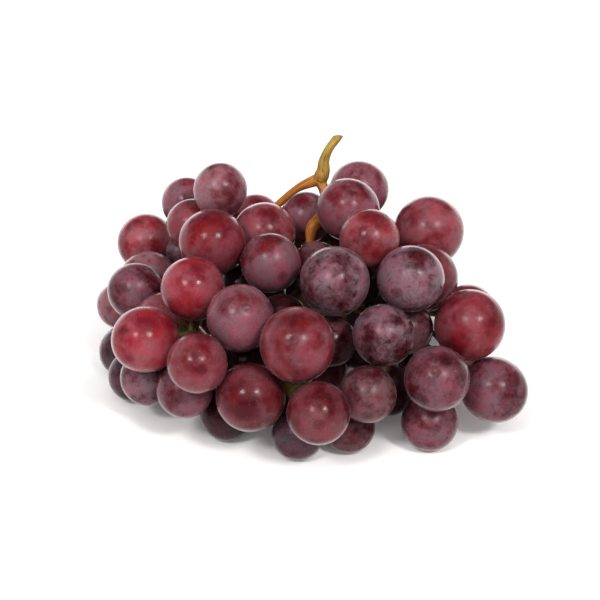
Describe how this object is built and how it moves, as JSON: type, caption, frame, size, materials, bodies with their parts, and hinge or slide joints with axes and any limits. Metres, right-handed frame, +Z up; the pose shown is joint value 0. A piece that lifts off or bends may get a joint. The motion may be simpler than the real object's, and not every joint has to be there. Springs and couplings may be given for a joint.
{
  "type": "bunch of grapes",
  "caption": "Loose bunch of round red table grapes lying down, waxy berries in sprays on a forked woody stalk whose cut end stands up at the back.",
  "frame": {"origin": "on the surface the bunch lies on, under the middle of its bounding box", "axes": "+X along the bunch's longest extent, left to right as seen from the front, +Y towards the back, where the stalk stands, +Z up"},
  "size_m": [0.1653, 0.14, 0.0924],
  "materials": {
    "stalk": "dry woody stalk, straw yellow to orange brown",
    "red_skin": "bright red grape skin with a thin waxy bloom",
    "plum_skin": "plum red grape skin with a grey lilac bloom",
    "dark_skin": "dark purple grape skin with a grey bloom"
  },
  "bodies": {
    "root": {"main_stem": "stalk", "spray_left_top": "red_skin", "spray_left_back": "dark_skin", "spray_left_low": "dark_skin", "spray_left_front": "red_skin", "spray_front_left": "red_skin", "spray_front": "red_skin", "spray_middle": "plum_skin", "spray_top": "plum_skin", "spray_front_right": "dark_skin", "spray_right_top": "plum_skin", "spray_right_end": "plum_skin", "spray_back_left": "dark_skin", "spray_back_middle": "plum_skin", "spray_back_low": "dark_skin", "spray_back_right": "plum_skin", "spray_under": "dark_skin"}
  },
  "joints": []
}
